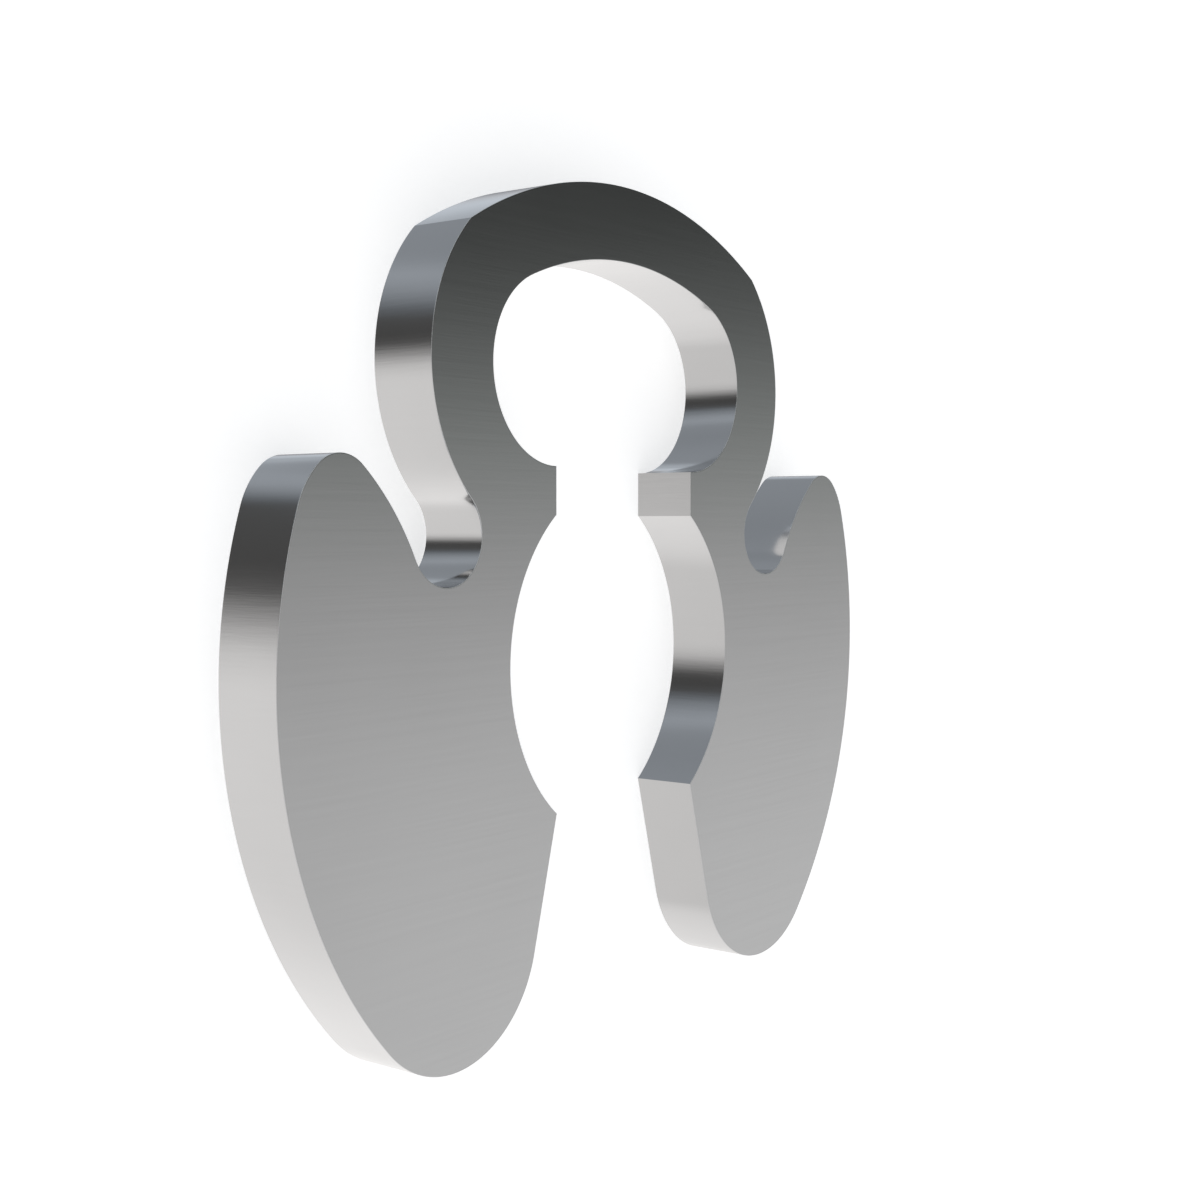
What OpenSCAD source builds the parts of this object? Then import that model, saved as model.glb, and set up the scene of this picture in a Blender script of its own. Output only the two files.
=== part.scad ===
// Side-fitted external retaining ring: one flat stamping of spring steel.
// It is pushed sideways into a groove in a shaft. The two lobes grip the groove
// like jaws, and the bow above them is both the spring and the tool's grip.
// The ring lies on its lower face. The origin is the centre of the groove on that
// face, +Z runs along the shaft, and the bow points to +Y.

/* [Seat in the shaft groove] */
// Diameter of the groove that the ring grips
groove_d = 8; // [6:0.1:9.2]
// Clear width between the two jaw tips, where the shaft enters
jaw_gap = 5; // [3:0.1:7]
// Flare of the mouth below the jaw tips, in degrees off the ring's own axis
mouth_flare = 15; // [0:0.5:25]

/* [Plate] */
// Thickness of the spring steel strip
thickness = 1.5; // [0.6:0.05:4]
// Diameter of the circle that the whole ring lies in
outer_d = 20.5; // [19.8:0.1:22]

/* [Bow] */
// Diameter of the arc along the inside of the crown
crown_inner_d = 17.25; // [15:0.05:19]
// Radius of the eyelet's two round ends
eyelet_r = 2; // [1.2:0.05:2.9]
// Width of the two arms that run round the eyelet's ends
arm_w = 1.8; // [1.1:0.05:2.3]
// Clear width of the neck between the bore and the eyelet
neck_gap = 5; // [3:0.1:6]

/* [Side slots] */
// Radius of the round bottom of each slot between an arm and a lobe
slot_r = 1; // [0.5:0.05:1.4]
// Direction of the slot's bottom from the middle of the eyelet's end, in degrees from the X axis
slot_angle = -45.6; // [-56:0.1:-36]

/* [Lobes] */
// Radius of the lobe's edge along the slot
brow_r = 5.55; // [3:0.05:12]
// Radius of the lobe's nose, at the mouth of the slot
nose_r = 0.85; // [0.5:0.05:1.2]
// Radius of the cheek, between the nose and the outer circle
cheek_r = 1.75; // [1.3:0.05:2.6]
// Angle above the X axis at which the cheek leaves the outer circle
cheek_angle = 18.5; // [10:0.5:24]
// Direction in which the cheek runs into the nose, in degrees from the X axis
nose_angle = 47; // [30:0.5:80]
// Radius of the lobe's foot, beside the mouth
foot_r = 2.5; // [1:0.05:3.2]

/* [Hidden] */
$fn = 180;

bore_r = groove_d / 2;
outer_r = outer_d / 2;
crown_inner_r = crown_inner_d / 2;
arm_r = eyelet_r + arm_w;
neck_x = neck_gap / 2;
jaw_x = jaw_gap / 2;
steel = [0.74, 0.742, 0.745];
// Length that runs from any point of the ring to well outside it
reach = 2 * outer_d;
// Depth to which neighbouring arcs run into each other, so that they cross in one clean point
touch = 0.0002;

// The point at distance r along direction a
function polar(r, a) = r * [cos(a), sin(a)];

// The direction from one point to another
function heading(from, to) = atan2(to[1] - from[1], to[0] - from[0]);

// Distance between the centres of two circles that touch, one inside the other or side by side
function inside(large, small) = large - small + touch;
function beside(one, other) = one + other - touch;

// The point that lies ra from a and rb from b, to the right of the line from a to b
function meeting(a, ra, b, rb) =
    let (span = norm(b - a),
         along = (ra * ra - rb * rb + span * span) / (2 * span),
         aside = sqrt(ra * ra - along * along),
         u = (b - a) / span)
    a + along * u + aside * [u[1], -u[0]];

// Arc centres of the right half. Every arc touches its neighbours, so each centre
// follows from the radii on both sides of it.

// Eyelet end: inside the crown's inner arc, and square to the neck's side
eyelet_c = [neck_x, sqrt(pow(inside(crown_inner_r, eyelet_r), 2) - neck_x * neck_x)];
// Slot bottom: beside the arm's outer arc
slot_c = eyelet_c + polar(beside(arm_r, slot_r), slot_angle);
// Cheek: inside the outer circle
cheek_c = polar(inside(outer_r, cheek_r), cheek_angle);
// Nose: inside the cheek
nose_c = cheek_c + polar(inside(cheek_r, nose_r), nose_angle);
// Brow: beside the slot bottom and round the nose
brow_c = meeting(slot_c, beside(brow_r, slot_r), nose_c, inside(brow_r, nose_r));
brow_angle = heading(brow_c, nose_c);

// Jaw tip: on the groove circle
jaw_tip = [jaw_x, -sqrt(bore_r * bore_r - jaw_x * jaw_x)];
// Foot: inside the outer circle, and against the mouth's side
mouth_normal = polar(1, mouth_flare);
foot_offset = mouth_normal * jaw_tip + foot_r - touch;
foot_c = foot_offset * mouth_normal
    + sqrt(pow(inside(outer_r, foot_r), 2) - foot_offset * foot_offset) * polar(1, mouth_flare - 90);
mouth_end = foot_c + (touch - foot_r) * mouth_normal;
// Half width of the mouth's wedge where it crosses the middle of the bore
mouth_top_x = jaw_x + jaw_tip[1] * tan(mouth_flare);

// Opening under the bow, with the neck that joins it to the bore
module eyelet() {
    crown_end = heading([0, 0], eyelet_c);
    translate([-neck_x, 0]) square([neck_gap, eyelet_c[1]]);
    for (side = [0, 1]) mirror([side, 0]) translate(eyelet_c) circle(eyelet_r);
    intersection() {
        circle(crown_inner_r);
        polygon([[0, 0], polar(reach, crown_end), polar(reach, 180 - crown_end)]);
    }
}

// Opening between an arm and the lobe below it
module side_slot() {
    translate(slot_c) circle(slot_r);
    difference() {
        polygon([slot_c, eyelet_c, polar(reach, heading([0, 0], eyelet_c)), [reach, reach], brow_c]);
        translate(eyelet_c) circle(arm_r);
        translate(brow_c) circle(brow_r);
    }
}

// Waste outside a lobe's nose, up to the corner that its brow and cheek would make
module nose_corner() {
    half = (brow_angle - nose_angle) / 2;
    corner = nose_r / cos(half);
    difference() {
        polygon([nose_c,
                 nose_c + polar(corner, nose_angle),
                 nose_c + polar(corner, nose_angle + half),
                 nose_c + polar(corner, brow_angle)]);
        translate(nose_c) circle(nose_r);
    }
}

// Waste between a lobe's cheek and the outer circle
module cheek_side() {
    difference() {
        polygon([cheek_c, cheek_c + polar(reach, cheek_angle), cheek_c + polar(reach, (nose_angle + brow_angle) / 2)]);
        translate(cheek_c) circle(cheek_r);
    }
}

// Waste below the ring: the mouth between the jaws, and what lies outside both feet
module mouth() {
    right = [[mouth_top_x, 0], mouth_end, foot_c, polar(reach, heading([0, 0], foot_c))];
    left = [for (i = [len(right) - 1:-1:0]) [-right[i][0], right[i][1]]];
    difference() {
        polygon(concat(right, left));
        for (side = [0, 1]) mirror([side, 0]) translate(foot_c) circle(foot_r);
    }
}

// Outline of the stamping
module ring_outline() {
    difference() {
        circle(outer_r);
        circle(bore_r);
        eyelet();
        mouth();
        for (side = [0, 1]) mirror([side, 0]) {
            side_slot();
            nose_corner();
            cheek_side();
        }
    }
}

module retaining_ring() {
    color(steel) linear_extrude(height = thickness) ring_outline();
}

retaining_ring();
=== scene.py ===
"""Side-fitted external retaining ring: its steel finish, and the studio that it is shown in.

The ring is one flat stamping of spring steel. It lies on its lower face with its bow towards
+Y, and is pushed sideways into a groove in a shaft. The plate built here has the outline of
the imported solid, drawn from the same driving sizes, and adds what the solid leaves out: edges
softened by tumbling, belt-ground faces and blanked walls.
"""

import logging
import math
from dataclasses import dataclass, field
from enum import Enum, IntEnum

import bpy
import numpy as np
from mathutils import Matrix, Vector


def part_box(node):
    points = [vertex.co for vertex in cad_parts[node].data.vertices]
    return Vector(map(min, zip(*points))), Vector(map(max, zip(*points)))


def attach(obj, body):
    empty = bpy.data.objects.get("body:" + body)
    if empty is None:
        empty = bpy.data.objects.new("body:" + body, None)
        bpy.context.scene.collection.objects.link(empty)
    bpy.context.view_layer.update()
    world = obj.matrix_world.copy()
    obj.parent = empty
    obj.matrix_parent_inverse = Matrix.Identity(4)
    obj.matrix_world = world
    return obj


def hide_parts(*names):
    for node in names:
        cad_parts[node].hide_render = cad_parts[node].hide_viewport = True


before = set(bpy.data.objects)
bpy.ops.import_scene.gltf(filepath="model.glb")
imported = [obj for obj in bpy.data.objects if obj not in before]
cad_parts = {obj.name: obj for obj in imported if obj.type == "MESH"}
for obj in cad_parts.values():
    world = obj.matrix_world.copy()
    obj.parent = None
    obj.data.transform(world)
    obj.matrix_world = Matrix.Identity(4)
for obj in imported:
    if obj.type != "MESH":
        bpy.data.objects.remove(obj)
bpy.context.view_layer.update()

MM = 0.001
NODE = "retaining_ring"
BODY = "root"

Colour = tuple[float, float, float]
Socket = bpy.types.NodeSocket

log = logging.getLogger("ring")


def polar(radius: float, degrees: float) -> np.ndarray:
    """The point at a distance from the origin, in a direction counted from +X."""
    return radius * np.array([math.cos(math.radians(degrees)), math.sin(math.radians(degrees))])


def heading(start: np.ndarray, end: np.ndarray) -> float:
    """The direction from one point to another, in degrees from +X."""
    return math.degrees(math.atan2(end[1] - start[1], end[0] - start[0]))


def meeting(first: np.ndarray, first_r: float, second: np.ndarray, second_r: float) -> np.ndarray:
    """Finds where two circles cross, to the right of the line between their centres.

    The crossing lies (first_r^2 - second_r^2 + span^2) / (2 span) along that line, and as far
    aside as Pythagoras then gives.

    Args:
        first: Centre of the first circle.
        first_r: Its radius.
        second: Centre of the second circle.
        second_r: Its radius.

    Returns:
        The crossing point.
    """
    line = second - first
    span = float(np.hypot(*line))
    along = (first_r**2 - second_r**2 + span**2) / (2 * span)
    aside = math.sqrt(first_r**2 - along**2)
    unit = line / span
    return first + along * unit + aside * np.array([unit[1], -unit[0]])


class Bulge(Enum):
    """Which way an arc of the outline curves, seen from the steel."""

    OUTWARD = 1
    INWARD = -1


class Surface(Enum):
    """The kinds of surface on the plate, in the order of its material slots."""

    FACE = 0
    EDGE = 1
    WALL = 2


@dataclass(frozen=True)
class Arc:
    """A round stretch of the outline.

    Moved into the steel by a depth, the arc keeps its centre. Its radius shrinks by that depth
    where it bulges outward, and grows by it where it bulges inward.

    Attributes:
        centre: Centre of the arc.
        radius: Radius on the outline itself.
        start: Direction of its first point from the centre, in degrees from +X.
        end: Direction of its last point.
        bulge: Which way it curves, seen from the steel.
    """

    centre: np.ndarray
    radius: float
    start: float
    end: float
    bulge: Bulge = Bulge.OUTWARD

    def points(self, depth: float, pitch: float, start: float | None = None,
               end: float | None = None) -> np.ndarray:
        """Samples the arc evenly by angle: centre + radius (cos a, sin a).

        Args:
            depth: How far the outline is moved into the steel.
            pitch: Rough distance between points, which sets their number.
            start: Angle of the first point in degrees, where a corner shifts it.
            end: Angle at which the next stretch starts, where a corner shifts it.

        Returns:
            The points as rows, without the one at the end angle.
        """
        sweep = math.radians(abs(self.end - self.start))
        count = math.ceil(sweep * self.radius / pitch)
        first = self.start if start is None else start
        last = self.end if end is None else end
        angle = np.radians(first + (last - first) * np.arange(count) / count)
        radius = self.radius - self.bulge.value * depth
        return self.centre + radius * np.stack([np.cos(angle), np.sin(angle)], axis=1)


def straight(start: np.ndarray, end: np.ndarray, count: int) -> np.ndarray:
    """Spaces a number of points evenly from one point up to, and without, another."""
    return start + np.arange(count)[:, None] / count * (end - start)


@dataclass(frozen=True)
class RingOutline:
    """The outline of the stamping, as arcs that touch their neighbours.

    Sizes are in metres and directions in degrees from +X. Each arc centre follows from the
    radii on both sides of it, so the outline has no kinks but its four pairs of corners: the
    creases of the bow, the two ends of the neck, and the jaw tips.

    Attributes:
        outer_d: Diameter of the circle that the whole ring lies in.
        groove_d: Diameter of the shaft groove that the ring grips.
        jaw_gap: Clear width between the jaw tips.
        mouth_flare: Flare of the mouth below the jaw tips, off the ring's own axis.
        crown_inner_d: Diameter of the arc along the inside of the crown.
        eyelet_r: Radius of the eyelet's round ends.
        arm_w: Width of the arms that run round the eyelet's ends.
        neck_gap: Clear width of the neck between bore and eyelet.
        slot_r: Radius of the round bottom of each side slot.
        slot_angle: Direction of that bottom from the middle of the eyelet's end.
        brow_r: Radius of the lobe's edge along the slot.
        nose_r: Radius of the lobe's nose, at the slot's mouth.
        cheek_r: Radius between the nose and the outer circle.
        cheek_angle: Direction in which the cheek leaves the outer circle.
        nose_angle: Direction in which the cheek runs into the nose.
        foot_r: Radius of the lobe's foot, beside the mouth.
        pitch: Rough distance between the points of the outline.
        corner_turn: Least turn from one step to the next that counts as a corner.
    """

    outer_d: float
    groove_d: float = 8 * MM
    jaw_gap: float = 5 * MM
    mouth_flare: float = 15.0
    crown_inner_d: float = 17.25 * MM
    eyelet_r: float = 2 * MM
    arm_w: float = 1.8 * MM
    neck_gap: float = 5 * MM
    slot_r: float = 1 * MM
    slot_angle: float = -45.6
    brow_r: float = 5.55 * MM
    nose_r: float = 0.85 * MM
    cheek_r: float = 1.75 * MM
    cheek_angle: float = 18.5
    nose_angle: float = 47.0
    foot_r: float = 2.5 * MM
    pitch: float = 0.05 * MM
    corner_turn: float = 8.0

    @property
    def origin(self) -> np.ndarray:
        """Centre of the groove."""
        return np.zeros(2)

    @property
    def eyelet_c(self) -> np.ndarray:
        """Centre of the eyelet's right end, inside the crown's inner arc."""
        reach = self.crown_inner_d / 2 - self.eyelet_r
        side = self.neck_gap / 2
        return np.array([side, math.sqrt(reach**2 - side**2)])

    @property
    def arm_r(self) -> float:
        """Radius of an arm's outer side, round the eyelet's end."""
        return self.eyelet_r + self.arm_w

    @property
    def mouth_normal(self) -> np.ndarray:
        """Direction from the mouth's right side into the lobe."""
        return polar(1, self.mouth_flare)

    @property
    def jaw_tip(self) -> np.ndarray:
        """The right jaw's tip, on the groove circle."""
        side = self.jaw_gap / 2
        return np.array([side, -math.sqrt((self.groove_d / 2) ** 2 - side**2)])

    @property
    def foot_c(self) -> np.ndarray:
        """Centre of the right lobe's foot, which touches the mouth's side and the outer circle."""
        offset = float(self.mouth_normal @ self.jaw_tip) + self.foot_r
        reach = self.outer_d / 2 - self.foot_r
        down = math.sqrt(reach**2 - offset**2)
        return offset * self.mouth_normal + down * polar(1, self.mouth_flare - 90)

    def outer_half(self, depth: float) -> np.ndarray:
        """Follows the right half's outer side, from the jaw tip up to the crown's top.

        It runs down the mouth, round the foot, up the outer circle, over cheek, nose and brow,
        through the slot and round the arm, to the crown.

        Args:
            depth: How far the outline is moved into the steel.

        Returns:
            The points as rows, with the crown's top as the last.
        """
        outer_r = self.outer_d / 2
        slot_c = self.eyelet_c + polar(self.arm_r + self.slot_r, self.slot_angle)
        cheek_c = polar(outer_r - self.cheek_r, self.cheek_angle)
        nose_c = cheek_c + polar(self.cheek_r - self.nose_r, self.nose_angle)
        brow_c = meeting(slot_c, self.brow_r + self.slot_r, nose_c, self.brow_r - self.nose_r)
        foot_down = heading(self.origin, self.foot_c)
        brow_end = heading(brow_c, slot_c)
        brow_start = heading(brow_c, nose_c)
        crease = meeting(self.origin, outer_r - depth, self.eyelet_c, self.arm_r - depth)
        crease_flat = meeting(self.origin, outer_r, self.eyelet_c, self.arm_r)

        foot = Arc(self.foot_c, self.foot_r, 180 + self.mouth_flare, 360 + foot_down)
        rim = Arc(self.origin, outer_r, foot_down, self.cheek_angle)
        cheek = Arc(cheek_c, self.cheek_r, self.cheek_angle, self.nose_angle)
        nose = Arc(nose_c, self.nose_r, self.nose_angle, brow_start)
        brow = Arc(brow_c, self.brow_r, brow_start, brow_end)
        slot = Arc(slot_c, self.slot_r, brow_end - 180, self.slot_angle - 180, Bulge.INWARD)
        arm = Arc(self.eyelet_c, self.arm_r, self.slot_angle, heading(self.eyelet_c, crease_flat))
        crown = Arc(self.origin, outer_r, heading(self.origin, crease_flat), 90)

        tip = self.mouth_point(depth)
        mouth_end = self.foot_c - (self.foot_r - depth) * self.mouth_normal
        return np.concatenate([
            straight(tip, mouth_end, self.mouth_count()),
            foot.points(depth, self.pitch),
            rim.points(depth, self.pitch),
            cheek.points(depth, self.pitch),
            nose.points(depth, self.pitch),
            brow.points(depth, self.pitch),
            slot.points(depth, self.pitch),
            arm.points(depth, self.pitch, end=heading(self.eyelet_c, crease)),
            crown.points(depth, self.pitch, start=heading(self.origin, crease)),
            [[0.0, outer_r - depth]],
        ])

    def inner_half(self, depth: float) -> np.ndarray:
        """Follows the right half's inner side, from under the crown down to the jaw tip.

        It runs round the eyelet's end, down the neck and round the bore.

        Args:
            depth: How far the outline is moved into the steel.

        Returns:
            The points as rows, without the jaw tip, which starts the outer half.
        """
        side = self.neck_gap / 2
        bore_r = self.groove_d / 2
        crown_end = heading(self.origin, self.eyelet_c)
        neck_top = self.eyelet_c + [depth, -math.sqrt((self.eyelet_r + depth) ** 2 - depth**2)]
        neck_foot = np.array([side + depth, math.sqrt((bore_r + depth) ** 2 - (side + depth) ** 2)])
        neck_foot_flat = np.array([side, math.sqrt(bore_r**2 - side**2)])
        neck_h = self.eyelet_c[1] - self.eyelet_r - neck_foot_flat[1]

        crown = Arc(self.origin, self.crown_inner_d / 2, 90, crown_end, Bulge.INWARD)
        eyelet = Arc(self.eyelet_c, self.eyelet_r, crown_end, -90, Bulge.INWARD)
        bore = Arc(self.origin, bore_r, heading(self.origin, neck_foot_flat),
                   heading(self.origin, self.jaw_tip), Bulge.INWARD)
        return np.concatenate([
            crown.points(depth, self.pitch),
            eyelet.points(depth, self.pitch, end=heading(self.eyelet_c, neck_top)),
            straight(neck_top, neck_foot, math.ceil(neck_h / self.pitch)),
            bore.points(depth, self.pitch, start=heading(self.origin, neck_foot),
                        end=heading(self.origin, self.mouth_point(depth))),
        ])

    def mouth_count(self) -> int:
        """How many points the mouth's straight side has."""
        end = self.foot_c - self.foot_r * self.mouth_normal
        return math.ceil(np.hypot(*(end - self.jaw_tip)) / self.pitch)

    def mouth_point(self, depth: float) -> np.ndarray:
        """The jaw tip after the outline is moved into the steel by a depth."""
        bore_r = self.groove_d / 2 + depth
        offset = float(self.mouth_normal @ self.jaw_tip) + depth
        down = math.sqrt(bore_r**2 - offset**2)
        return offset * self.mouth_normal + down * polar(1, self.mouth_flare - 90)

    def loop(self, depth: float) -> np.ndarray:
        """Closes the outline: the right half, and the left half as its mirror image.

        Args:
            depth: How far the outline is moved into the steel.

        Returns:
            The points as rows, counterclockwise, with the steel on their left.
        """
        mirror = np.array([-1.0, 1.0])
        outer = self.outer_half(depth)
        inner = self.inner_half(depth)
        return np.concatenate([outer, (outer[:-1] * mirror)[::-1], (inner[1:] * mirror)[::-1], inner])

    def corners(self) -> np.ndarray:
        """Tells at which points of the loop the outline turns sharply, as booleans."""
        step = np.roll(self.loop(0), -1, axis=0) - self.loop(0)
        angle = np.arctan2(step[:, 1], step[:, 0])
        turn = np.degrees(np.angle(np.exp(1j * (angle - np.roll(angle, 1)))))
        return np.abs(turn) > self.corner_turn


@dataclass(frozen=True)
class EdgeProfile:
    """The plate's section at its rim: face, round edge, wall, round edge, face.

    The lower edge is the rounder one, where the punch drew the strip in. Narrow margins beside
    the edges keep the faces and walls flat in shading.

    Attributes:
        thickness: Thickness of the strip.
        lower_r: Radius of the lower edge.
        upper_r: Radius of the upper edge.
        margin: Width of the margins beside the round edges.
        steps: Number of flat steps round each edge.
    """

    thickness: float
    lower_r: float = 0.015 * MM
    upper_r: float = 0.006 * MM
    margin: float = 0.02 * MM
    steps: int = 6

    def rows(self) -> tuple[np.ndarray, np.ndarray, list[Surface]]:
        """Lists the section's points, from the lower face's margin up to the upper face's.

        A round edge is a quarter circle: r (1 - sin a) into the steel and r (1 - cos a) off its
        face.

        Returns:
            How deep each point lies in from the wall, its height, and the kind of surface
            between it and the next point.
        """
        turn = np.linspace(0, math.pi / 2, self.steps + 1)
        deep, off = 1 - np.sin(turn), 1 - np.cos(turn)
        low, high = self.lower_r + self.margin, self.upper_r + self.margin
        depth = np.concatenate([
            [low], self.lower_r * deep, [0.0, 0.0], self.upper_r * deep[::-1], [high],
        ])
        height = np.concatenate([
            [0.0], self.lower_r * off, [low, self.thickness - high],
            self.thickness - self.upper_r * off[::-1], [self.thickness],
        ])
        edge = [Surface.EDGE] * self.steps
        wall_with_margins = [Surface.WALL, Surface.WALL, Surface.WALL]
        return depth, height, [Surface.FACE, *edge, *wall_with_margins, *edge, Surface.FACE]


@dataclass(frozen=True)
class Span:
    """A range of values, which may also run downwards."""

    start: float
    end: float

    def share(self, value: float) -> float:
        """How far a value lies along the range, from 0 at its start to 1 at its end."""
        return (value - self.start) / (self.end - self.start)


WHOLE = Span(0.0, 1.0)
DIRECTION_PART = Span(-1.0, 1.0)


class MixSocket(IntEnum):
    """Places of a Mix node's colour sockets, whose names are not unique."""

    FACTOR = 0
    FIRST = 6
    SECOND = 7
    RESULT = 2


class NodeSheet:
    """A node tree under construction."""

    def __init__(self, tree: bpy.types.NodeTree) -> None:
        """Starts on an emptied tree."""
        self.tree = tree
        tree.nodes.clear()

    def add(self, kind: str, values: dict[str, object] | None = None,
            links: dict[str, Socket] | None = None, **settings: object) -> bpy.types.Node:
        """Adds a node.

        Args:
            kind: The node's type name.
            values: Input values, by the input's name.
            links: Sockets that feed inputs, by the input's name.
            settings: Properties of the node.

        Returns:
            The new node.
        """
        node = self.tree.nodes.new(kind)
        for name, value in settings.items():
            setattr(node, name, value)
        for name, value in (values or {}).items():
            node.inputs[name].default_value = value
        for name, socket in (links or {}).items():
            self.tree.links.new(socket, node.inputs[name])
        return node

    def calculate(self, operation: str, *operands: Socket | float) -> Socket:
        """Works out a sum, product or the like.

        Args:
            operation: The Math node's operation.
            operands: Sockets or numbers.

        Returns:
            The result.
        """
        node = self.add("ShaderNodeMath", operation=operation)
        for index, operand in enumerate(operands):
            if isinstance(operand, Socket):
                self.tree.links.new(operand, node.inputs[index])
            else:
                node.inputs[index].default_value = operand
        return node.outputs[0]

    def spread(self, value: Socket, span: Span, onto: Span = WHOLE, smooth: bool = False) -> Socket:
        """Maps a span of a value onto another span, and holds it there.

        Args:
            value: The value.
            span: The span that it is mapped from.
            onto: The span that it is mapped onto.
            smooth: Whether it eases in and out.

        Returns:
            The mapped value.
        """
        node = self.add(
            "ShaderNodeMapRange",
            {
                "From Min": span.start,
                "From Max": span.end,
                "To Min": onto.start,
                "To Max": onto.end,
            },
            {"Value": value},
            interpolation_type="SMOOTHSTEP" if smooth else "LINEAR",
        )
        return node.outputs["Result"]

    def blend(self, factor: Socket, first: Socket | Colour, second: Socket | Colour) -> Socket:
        """Mixes two colours.

        Args:
            factor: Share of the second colour.
            first: A colour, or the socket that gives it.
            second: A colour, or the socket that gives it.

        Returns:
            The mixed colour.
        """
        node = self.add("ShaderNodeMix", data_type="RGBA")
        self.tree.links.new(factor, node.inputs[MixSocket.FACTOR])
        for place, colour in ((MixSocket.FIRST, first), (MixSocket.SECOND, second)):
            if isinstance(colour, Socket):
                self.tree.links.new(colour, node.inputs[place])
            else:
                node.inputs[place].default_value = (*colour, 1.0)
        return node.outputs[MixSocket.RESULT]

    def scaled(self, vector: Socket, factor: Socket) -> Socket:
        """A vector or a colour times a factor."""
        node = self.add("ShaderNodeVectorMath", links={"Vector": vector, "Scale": factor},
                        operation="SCALE")
        return node.outputs["Vector"]


class GrainGroup:
    """Node group of the fine parallel lines that a grinding belt or a punch leaves in steel.

    Inputs are the coordinates, with the lines along X, and the lines' pitch and length in
    metres. Height is the lines' relief from 0 to 1, and Patches are the broad, soft spots in
    which the tool bit harder. Both are noise: the lines' is stretched to their length, and the
    patches' is as wide as a line is long.
    """

    name = "tool lines"
    line_detail = 3.0
    line_roughness = 0.6
    patch_detail = 2.0
    patch_roughness = 0.5

    def __init__(self) -> None:
        """Builds the group."""
        self.tree = bpy.data.node_groups.new(self.name, "ShaderNodeTree")
        sheet = NodeSheet(self.tree)
        interface = self.tree.interface
        interface.new_socket("Vector", in_out="INPUT", socket_type="NodeSocketVector")
        interface.new_socket("Pitch", in_out="INPUT", socket_type="NodeSocketFloat")
        interface.new_socket("Length", in_out="INPUT", socket_type="NodeSocketFloat")
        interface.new_socket("Height", in_out="OUTPUT", socket_type="NodeSocketFloat")
        interface.new_socket("Patches", in_out="OUTPUT", socket_type="NodeSocketFloat")
        given = sheet.add("NodeGroupInput")
        across = sheet.calculate("DIVIDE", 1.0, given.outputs["Pitch"])
        along = sheet.calculate("DIVIDE", 1.0, given.outputs["Length"])
        scale = sheet.add("ShaderNodeCombineXYZ", links={"X": along, "Y": across, "Z": across})
        lines = sheet.add("ShaderNodeVectorMath", operation="MULTIPLY")
        self.tree.links.new(given.outputs["Vector"], lines.inputs[0])
        self.tree.links.new(scale.outputs["Vector"], lines.inputs[1])
        relief = sheet.add(
            "ShaderNodeTexNoise",
            {"Scale": 1.0, "Detail": self.line_detail, "Roughness": self.line_roughness},
            {"Vector": lines.outputs["Vector"]},
        )
        patches = sheet.add(
            "ShaderNodeTexNoise",
            {"Scale": 1.0, "Detail": self.patch_detail, "Roughness": self.patch_roughness},
            {"Vector": sheet.scaled(given.outputs["Vector"], along)},
        )
        sheet.add("NodeGroupOutput", links={
            "Height": relief.outputs["Fac"],
            "Patches": patches.outputs["Fac"],
        })

    def use(self, sheet: NodeSheet, vector: Socket, pitch: float, length: float) -> bpy.types.Node:
        """Places the group in a material.

        Args:
            sheet: The material's nodes.
            vector: Coordinates with the lines along X.
            pitch: Rough distance between lines.
            length: Rough length of a line.

        Returns:
            The group's node.
        """
        return sheet.add("ShaderNodeGroup", {"Pitch": pitch, "Length": length},
                         {"Vector": vector}, node_tree=self.tree)


@dataclass(frozen=True)
class SteelFinish:
    """One finish of the spring steel: its tone, polish and tool lines.

    The steel is dullest where a line and a patch lie on each other.

    Attributes:
        name: The material's name.
        tone: Colour of the steel where it is brightest.
        dull_tone: Colour where it is dullest.
        roughness: Roughness from brightest to dullest.
        line_pitch: Rough distance between tool lines, in metres.
        line_length: Rough length of a tool line.
        line_depth: Depth of the lines.
        line_share: Share of the lines in the dullness. The patches have the rest.
        line_reach: Part of the noise that the lines use.
        patch_reach: Part of the noise that the patches use.
    """

    name: str
    tone: Colour = (0.74, 0.742, 0.745)
    dull_tone: Colour = (0.725, 0.727, 0.73)
    roughness: Span = Span(0.10, 0.14)
    line_pitch: float = 0.1 * MM
    line_length: float = 3 * MM
    line_depth: float = 0.0005 * MM
    line_share: float = 0.5
    line_reach: Span = Span(0.30, 0.70)
    patch_reach: Span = Span(0.35, 0.65)

    def coordinates(self, sheet: NodeSheet) -> Socket:
        """Object coordinates, whose X the lines follow."""
        return sheet.add("ShaderNodeTexCoord").outputs["Object"]

    def material(self, grain: GrainGroup) -> bpy.types.Material:
        """Builds the finish.

        Args:
            grain: The node group of tool lines.

        Returns:
            The material.
        """
        made = bpy.data.materials.new(self.name)
        made.use_nodes = True
        sheet = NodeSheet(made.node_tree)
        lines = grain.use(sheet, self.coordinates(sheet), self.line_pitch, self.line_length)
        patches = sheet.spread(lines.outputs["Patches"], self.patch_reach)
        relief = sheet.spread(lines.outputs["Height"], self.line_reach)
        patchy = sheet.calculate("MULTIPLY", patches, 1 - self.line_share)
        dullness = sheet.calculate("MULTIPLY_ADD", relief, self.line_share, patchy)
        bump = sheet.add("ShaderNodeBump", {"Strength": 1.0, "Distance": self.line_depth},
                         {"Height": relief})
        steel = sheet.add(
            "ShaderNodeBsdfPrincipled",
            {"Metallic": 1.0},
            {
                "Base Color": sheet.blend(dullness, self.tone, self.dull_tone),
                "Roughness": sheet.spread(dullness, WHOLE, self.roughness),
                "Normal": bump.outputs["Normal"],
            },
        )
        sheet.add("ShaderNodeOutputMaterial", links={"Surface": steel.outputs["BSDF"]})
        return made


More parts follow.
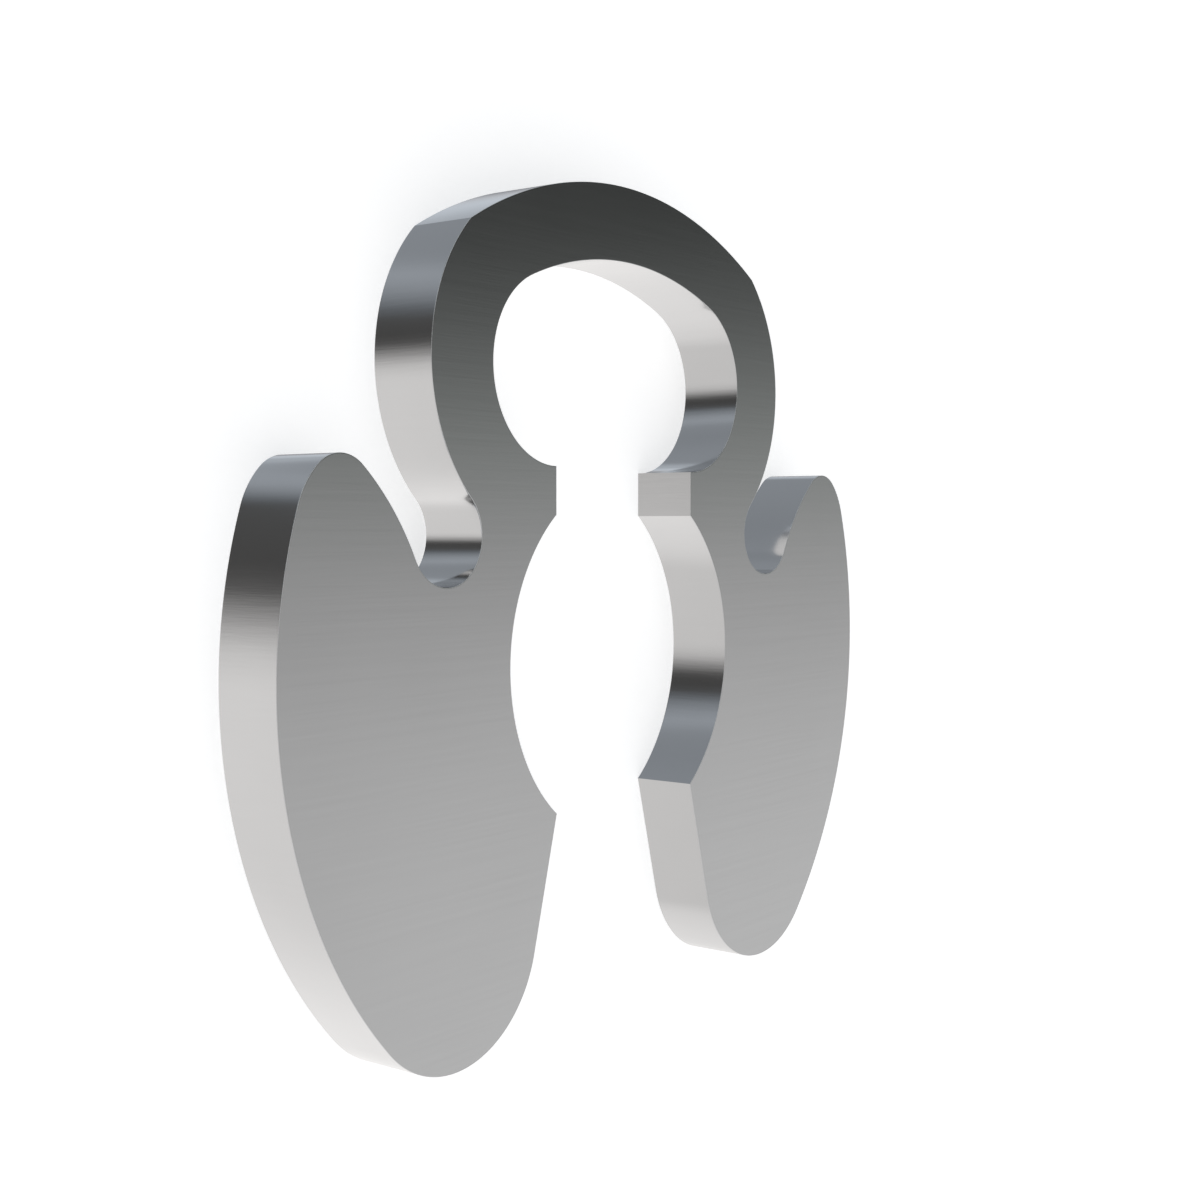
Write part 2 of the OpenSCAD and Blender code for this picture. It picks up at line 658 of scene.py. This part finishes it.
@dataclass(frozen=True)
class GroundFace(SteelFinish):
    """The strip's own faces, ground by a belt that ran along X."""

    name: str = "ground_face"
    tone: Colour = (0.745, 0.745, 0.747)
    dull_tone: Colour = (0.717, 0.717, 0.719)
    roughness: Span = Span(0.12, 0.17)
    line_pitch: float = 0.12 * MM
    line_length: float = 5 * MM
    line_depth: float = 0.00024 * MM


@dataclass(frozen=True)
class BlankedWall(SteelFinish):
    """The walls that the punch cut and burnished, with lines along its stroke."""

    name: str = "blanked_wall"
    line_pitch: float = 0.09 * MM
    line_length: float = 1.5 * MM
    line_depth: float = 0.00025 * MM

    def coordinates(self, sheet: NodeSheet) -> Socket:
        """Swaps the rim's UV map, so that X runs up the wall and Y along the outline."""
        uv = sheet.add("ShaderNodeUVMap", uv_map=RingPlate.uv_name)
        parts = sheet.add("ShaderNodeSeparateXYZ", links={"Vector": uv.outputs["UV"]})
        swapped = sheet.add("ShaderNodeCombineXYZ",
                            links={"X": parts.outputs["Y"], "Y": parts.outputs["X"]})
        return swapped.outputs["Vector"]


@dataclass(frozen=True)
class TumbledEdge(BlankedWall):
    """The round edges, polished by tumbling."""

    name: str = "tumbled_edge"
    roughness: Span = Span(0.3, 0.4)


@dataclass
class RingPlate:
    """The finished ring: its outline, its section at the rim and its three finishes.

    Attributes:
        outline: Outline of the stamping.
        profile: Section at the rim.
        finishes: The finish of each kind of surface.
        name: The piece's name.
    """

    outline: RingOutline
    profile: EdgeProfile
    finishes: dict[Surface, SteelFinish] = field(default_factory=lambda: {
        Surface.FACE: GroundFace(),
        Surface.EDGE: TumbledEdge(),
        Surface.WALL: BlankedWall(),
    })
    name: str = "ring_plate"
    uv_name = "rim"

    def grid(self) -> np.ndarray:
        """Carries the section along the outline.

        Point (i, j) lies at the outline's point j, moved into the steel by the section's depth
        i, at the section's height i.

        Returns:
            The points as an array of section rows, outline columns and x, y, z.
        """
        depth, height, _ = self.profile.rows()
        flat = np.stack([self.outline.loop(d) for d in depth])
        high = np.broadcast_to(height[:, None, None], (*flat.shape[:2], 1))
        return np.concatenate([flat, high], axis=2)

    def mesh(self) -> bpy.types.Mesh:
        """Makes the closed mesh: a band of quads round the rim, and one face each side.

        Returns:
            The mesh, with each face's material index, sharp corners and the rim's UV map.
        """
        grid = self.grid()
        rows, columns, _ = grid.shape
        row, column = np.meshgrid(np.arange(rows - 1), np.arange(columns), indexing="ij")
        after = (column + 1) % columns
        quads = np.stack([
            row * columns + column, row * columns + after,
            (row + 1) * columns + after, (row + 1) * columns + column,
        ], axis=2).reshape(-1, 4)
        lower = np.arange(columns)[::-1]
        upper = np.arange(columns) + (rows - 1) * columns
        mesh = bpy.data.meshes.new(self.name)
        mesh.from_pydata(grid.reshape(-1, 3).tolist(), [],
                         [*quads.tolist(), lower.tolist(), upper.tolist()])

        kinds = np.array([kind.value for kind in self.profile.rows()[2]])
        caps = [Surface.FACE.value] * 2
        mesh.polygons.foreach_set("material_index", np.concatenate([np.repeat(kinds, columns), caps]))
        mesh.polygons.foreach_set("use_smooth", np.ones(len(mesh.polygons), bool))
        self.mark_corners(mesh, columns)
        self.map_rim(mesh, grid)
        mesh.validate()
        return mesh

    def mark_corners(self, mesh: bpy.types.Mesh, columns: int) -> None:
        """Makes the edges that run up the outline's corners sharp.

        Args:
            mesh: The plate's mesh.
            columns: Number of points along the outline.
        """
        ends = np.zeros(2 * len(mesh.edges), np.int32)
        mesh.edges.foreach_get("vertices", ends)
        place = ends.reshape(-1, 2) % columns
        upright = (place[:, 0] == place[:, 1]) & self.outline.corners()[place[:, 0]]
        sharp = mesh.attributes.new("sharp_edge", "BOOLEAN", "EDGE")
        sharp.data.foreach_set("value", upright)

    def map_rim(self, mesh: bpy.types.Mesh, grid: np.ndarray) -> None:
        """Gives the rim UV coordinates in metres, and each face its own x and y.

        U is the length along the outline, and V the length up the section.

        Args:
            mesh: The plate's mesh.
            grid: The points of the rim, as grid() gives them.
        """
        rows, columns, _ = grid.shape
        steps = np.hypot(*(np.roll(grid[rows // 2], -1, axis=0) - grid[rows // 2])[:, :2].T)
        along = np.concatenate([[0.0], np.cumsum(steps)])
        depth, height, _ = self.profile.rows()
        up = np.concatenate([[0.0], np.cumsum(np.hypot(np.diff(depth), np.diff(height)))])
        u = np.stack([along[:-1], along[1:], along[1:], along[:-1]], axis=1)
        v = np.stack([up[:-1], up[:-1], up[1:], up[1:]], axis=1)
        rim = np.stack(np.broadcast_arrays(u[None], v[:, None]), axis=3).reshape(-1, 2)
        lower, upper = grid[0, ::-1, :2], grid[-1, :, :2]
        uv = mesh.uv_layers.new(name=self.uv_name)
        uv.data.foreach_set("uv", np.concatenate([rim, lower, upper]).ravel())

    def build(self) -> bpy.types.Object:
        """Makes the piece, dresses it and puts it on its body.

        Returns:
            The finished piece.
        """
        mesh = self.mesh()
        grain = GrainGroup()
        for kind in Surface:
            mesh.materials.append(self.finishes[kind].material(grain))
        piece = bpy.data.objects.new(self.name, mesh)
        bpy.context.scene.collection.objects.link(piece)
        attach(piece, BODY)
        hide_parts(NODE)
        return piece


class Tint(Enum):
    """Hues of the studio's cards, as shares of red, green and blue."""

    PLAIN = (1.0, 1.0, 1.0)
    WARM = (1.02, 1.0, 0.987)
    COOL = (0.927, 1.0, 1.09)
    SLATE = (0.97, 1.0, 1.06)
    MOSS = (0.95, 1.0, 0.975)


@dataclass(frozen=True)
class Card:
    """A stretch of the studio's surround.

    Attributes:
        side: How far towards +Y it stands, from -1 to 1.
        light: How bright it is, where 1 shows as white.
        tint: Its hue.
    """

    side: float
    light: float
    tint: Tint = Tint.PLAIN

    def colour(self, strength: float) -> Colour:
        """The card's colour where the whole surround shines at a strength."""
        return tuple(part * self.light / strength for part in self.tint.value)


@dataclass(frozen=True)
class Surround:
    """The light that comes from all round, as rows of soft cards that blend into one another.

    A direction's side is its Y, from -1 to 1, and its height its Z. The horizon is white.
    Above it stand the upper cards, and overhead a broad lamp, brighter towards the mouth. The
    lower cards only show in the ring's walls, as the room below the table's edge would: near
    ones on the ring's left, far ones on its right. A row's glow changes with the height: the
    upper row dims upwards, and the lower ones, on the mouth's side, brighten downwards. On the
    bow's side the lower left cards lean, so that they stand farther out the lower they reach.

    Attributes:
        strength: Strength of the world's light, which the cards' own light is set against.
        horizon: The white card all round.
        overhead: The lamp's cards.
        upper: The cards between the horizon and the lamp.
        lower_left: The cards below the horizon towards -X.
        lower_right: The cards below the horizon towards +X.
        left_to_right: Span of X over which the lower left cards pass into the right ones.
        horizon_to_lower: Heights over which the horizon passes into the lower cards.
        horizon_to_upper: Heights over which it passes into the upper ones.
        upper_to_overhead: Heights over which those pass into the lamp.
        upper_height: Heights over which the upper cards' glow changes.
        upper_glow: Their glow from the first of these heights to the last.
        lower_height: Heights over which the lower cards' gain changes.
        lower_gain: Their gain from the first of these heights to the last.
        lower_gain_side: Sides over which the gain grows from nothing to its whole.
        lean: How far the lower left cards lean inwards, from the first lean height to the last.
        lean_height: Heights over which they lean.
        lean_side: Sides over which the lean grows from nothing to its whole.
    """

    strength: float = 1.25
    horizon: Card = Card(0.0, 1.0)
    overhead: tuple[Card, ...] = (
        Card(-0.40, 0.90),
        Card(0.40, 0.58),
    )
    upper: tuple[Card, ...] = (
        Card(-0.75, 0.80),
        Card(-0.45, 0.66),
        Card(-0.30, 0.575),
        Card(-0.20, 0.55),
        Card(-0.12, 0.495),
        Card(-0.04, 0.396),
        Card(0.04, 0.256, Tint.MOSS),
        Card(0.12, 0.107, Tint.MOSS),
        Card(0.18, 0.048, Tint.MOSS),
        Card(0.40, 0.04, Tint.MOSS),
        Card(0.60, 0.33, Tint.COOL),
        Card(0.90, 0.52, Tint.COOL),
    )
    lower_left: tuple[Card, ...] = (
        Card(-0.80, 0.91, Tint.WARM),
        Card(-0.70, 0.775, Tint.WARM),
        Card(-0.08, 0.765, Tint.WARM),
        Card(0.02, 0.66, Tint.WARM),
        Card(0.12, 0.322, Tint.WARM),
        Card(0.19, 0.10, Tint.WARM),
        Card(0.26, 0.066, Tint.WARM),
        Card(0.37, 0.081),
        Card(0.44, 0.147, Tint.COOL),
        Card(0.50, 0.245, Tint.COOL),
        Card(0.57, 0.335, Tint.COOL),
        Card(0.64, 0.39, Tint.COOL),
        Card(0.72, 0.30, Tint.COOL),
        Card(0.85, 0.278, Tint.COOL),
    )
    lower_right: tuple[Card, ...] = (
        Card(-0.60, 1.0, Tint.WARM),
        Card(-0.30, 1.02, Tint.WARM),
        Card(-0.05, 0.97, Tint.WARM),
        Card(0.12, 0.80),
        Card(0.20, 0.32, Tint.SLATE),
        Card(0.28, 0.29, Tint.SLATE),
        Card(0.36, 0.54, Tint.SLATE),
        Card(0.43, 0.65, Tint.COOL),
        Card(0.49, 0.59, Tint.COOL),
        Card(0.55, 0.47, Tint.COOL),
        Card(0.61, 0.49, Tint.COOL),
        Card(0.70, 0.31, Tint.COOL),
    )
    left_to_right: Span = Span(-0.45, 0.25)
    horizon_to_lower: Span = Span(-0.02, -0.14)
    horizon_to_upper: Span = Span(0.12, 0.28)
    upper_to_overhead: Span = Span(0.80, 0.93)
    upper_height: Span = Span(0.50, 0.76)
    upper_glow: Span = Span(1.10, 0.94)
    lower_height: Span = Span(-0.50, -0.80)
    lower_gain: Span = Span(-0.13, 0.10)
    lower_gain_side: Span = Span(0.45, 0.20)
    lean: Span = Span(0.056, -0.056)
    lean_height: Span = Span(-0.53, -0.79)
    lean_side: Span = Span(0.28, 0.42)

    def row(self, sheet: NodeSheet, side: Socket, cards: tuple[Card, ...]) -> Socket:
        """Blends a row of cards into one another.

        Args:
            sheet: The world's nodes.
            side: The direction's Y, from -1 to 1.
            cards: The cards, from -Y to +Y.

        Returns:
            The light in that direction.
        """
        node = sheet.add("ShaderNodeValToRGB", links={"Fac": sheet.spread(side, DIRECTION_PART)})
        stops = node.color_ramp.elements
        for _ in range(len(cards) - len(stops)):
            stops.new(1.0)
        for stop, card in zip(stops, cards):
            stop.position = DIRECTION_PART.share(card.side)
            stop.color = (*card.colour(self.strength), 1.0)
        return node.outputs["Color"]

    def build(self) -> bpy.types.World:
        """Makes the world.

        Returns:
            The world, in use by the scene.
        """
        world = bpy.data.worlds.new("studio_surround")
        bpy.context.scene.world = world
        world.use_nodes = True
        sheet = NodeSheet(world.node_tree)
        coordinates = sheet.add("ShaderNodeTexCoord")
        way = sheet.add("ShaderNodeSeparateXYZ", links={"Vector": coordinates.outputs["Generated"]})
        x, y, z = (way.outputs[axis] for axis in "XYZ")
        shift = sheet.spread(z, self.lean_height, self.lean)
        leaning = sheet.calculate("MULTIPLY_ADD", shift, sheet.spread(y, self.lean_side), y)
        lower = sheet.blend(
            sheet.spread(x, self.left_to_right, smooth=True),
            self.row(sheet, leaning, self.lower_left),
            self.row(sheet, y, self.lower_right),
        )
        gain = sheet.spread(z, self.lower_height, self.lower_gain)
        gain_side = sheet.spread(y, self.lower_gain_side)
        lower = sheet.scaled(lower, sheet.calculate("MULTIPLY_ADD", gain, gain_side, 1.0))
        upper = sheet.scaled(self.row(sheet, y, self.upper),
                             sheet.spread(z, self.upper_height, self.upper_glow))
        overhead = self.row(sheet, y, self.overhead)
        light = sheet.blend(sheet.spread(z, self.horizon_to_lower, smooth=True),
                            self.horizon.colour(self.strength), lower)
        light = sheet.blend(sheet.spread(z, self.horizon_to_upper, smooth=True), light, upper)
        light = sheet.blend(sheet.spread(z, self.upper_to_overhead, smooth=True), light, overhead)
        background = sheet.add("ShaderNodeBackground", {"Strength": self.strength}, {"Color": light})
        sheet.add("ShaderNodeOutputWorld", links={"Surface": background.outputs["Background"]})
        return world


@dataclass(frozen=True)
class Floor:
    """The plain white table top that the ring lies on.

    Attributes:
        half_width: Half the table's width.
        drop: How far the table top lies below the ring's lower face.
        colour: Colour of its paint.
        glow: Light of its own, which makes it come out white.
    """

    half_width: float = 4.0
    drop: float = 0.004 * MM
    colour: Colour = (0.94, 0.94, 0.94)
    glow: float = 0.54

    def build(self) -> bpy.types.Object:
        """Makes the floor, which takes the ring's shadow and doesn't mirror in its walls.

        Returns:
            The floor.
        """
        corners = self.half_width * np.array([[-1, -1], [1, -1], [1, 1], [-1, 1]])
        mesh = bpy.data.meshes.new("table_top")
        mesh.from_pydata([(x, y, -self.drop) for x, y in corners], [], [(0, 1, 2, 3)])
        material = bpy.data.materials.new("table_top")
        material.use_nodes = True
        sheet = NodeSheet(material.node_tree)
        paint = sheet.add("ShaderNodeBsdfPrincipled", {
            "Base Color": (*self.colour, 1.0),
            "Roughness": 1.0,
            "Specular IOR Level": 0.0,
            "Emission Color": (1.0, 1.0, 1.0, 1.0),
            "Emission Strength": self.glow,
        })
        sheet.add("ShaderNodeOutputMaterial", links={"Surface": paint.outputs["BSDF"]})
        mesh.materials.append(material)
        floor = bpy.data.objects.new("table_top", mesh)
        bpy.context.scene.collection.objects.link(floor)
        floor.visible_glossy = False
        floor.visible_shadow = False
        return floor


@dataclass(frozen=True)
class PhotoCamera:
    """The camera at the photograph's viewing angle.

    The ring stands in the photograph and lies here, so the camera looks down on it and is
    rolled, which shows the ring from the same side and the same way up.

    Attributes:
        aim: The point that the camera looks at.
        distance: Its distance from there.
        azimuth: Direction from the aim to the camera, in degrees from +X.
        elevation: Its height over the table, in degrees.
        roll: Turn about its line of sight, in degrees.
        lens: Focal length, in millimetres.
        sensor: Width of the sensor, in millimetres.
        nearest: Nearest distance that it shows, in metres.
        farthest: Farthest distance that it shows, in metres.
    """

    aim: tuple[float, float, float] = (-0.997 * MM, 1.300 * MM, 1.5 * MM)
    distance: float = 35.884 * MM
    azimuth: float = 176.780
    elevation: float = 36.783
    roll: float = -91.929
    lens: float = 50.0
    sensor: float = 36.0
    nearest: float = 1 * MM
    farthest: float = 20.0

    def build(self) -> bpy.types.Object:
        """Places the camera.

        Its back points from the aim along the azimuth, counted from +X, and the elevation.

        Returns:
            The camera.
        """
        level = polar(math.cos(math.radians(self.elevation)), self.azimuth)
        back = Vector((*level, math.sin(math.radians(self.elevation))))
        turn = back.to_track_quat("Z", "Y").to_matrix() @ Matrix.Rotation(math.radians(-self.roll), 3, "Z")
        data = bpy.data.cameras.new("photo_camera")
        data.lens = self.lens
        data.sensor_width = self.sensor
        data.clip_start = self.nearest
        data.clip_end = self.farthest
        camera = bpy.data.objects.new("photo_camera", data)
        bpy.context.scene.collection.objects.link(camera)
        camera.matrix_world = Matrix.Translation(Vector(self.aim) + self.distance * back) @ turn.to_4x4()
        bpy.context.scene.camera = camera
        return camera


def main() -> None:
    """Builds the ring and its studio, and logs the plate's vertex and face counts."""
    logging.basicConfig(level=logging.INFO, format="%(name)s: %(message)s")
    scene = bpy.context.scene
    scene.view_settings.view_transform = "Standard"
    low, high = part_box(NODE)
    plate = RingPlate(
        outline=RingOutline(outer_d=high.y * 2),
        profile=EdgeProfile(thickness=high.z - low.z),
    ).build()
    log.info("%s: %d vertices, %d faces", plate.name, len(plate.data.vertices), len(plate.data.polygons))
    Surround().build()
    Floor().build()
    PhotoCamera().build()


if __name__ == "__main__":
    main()
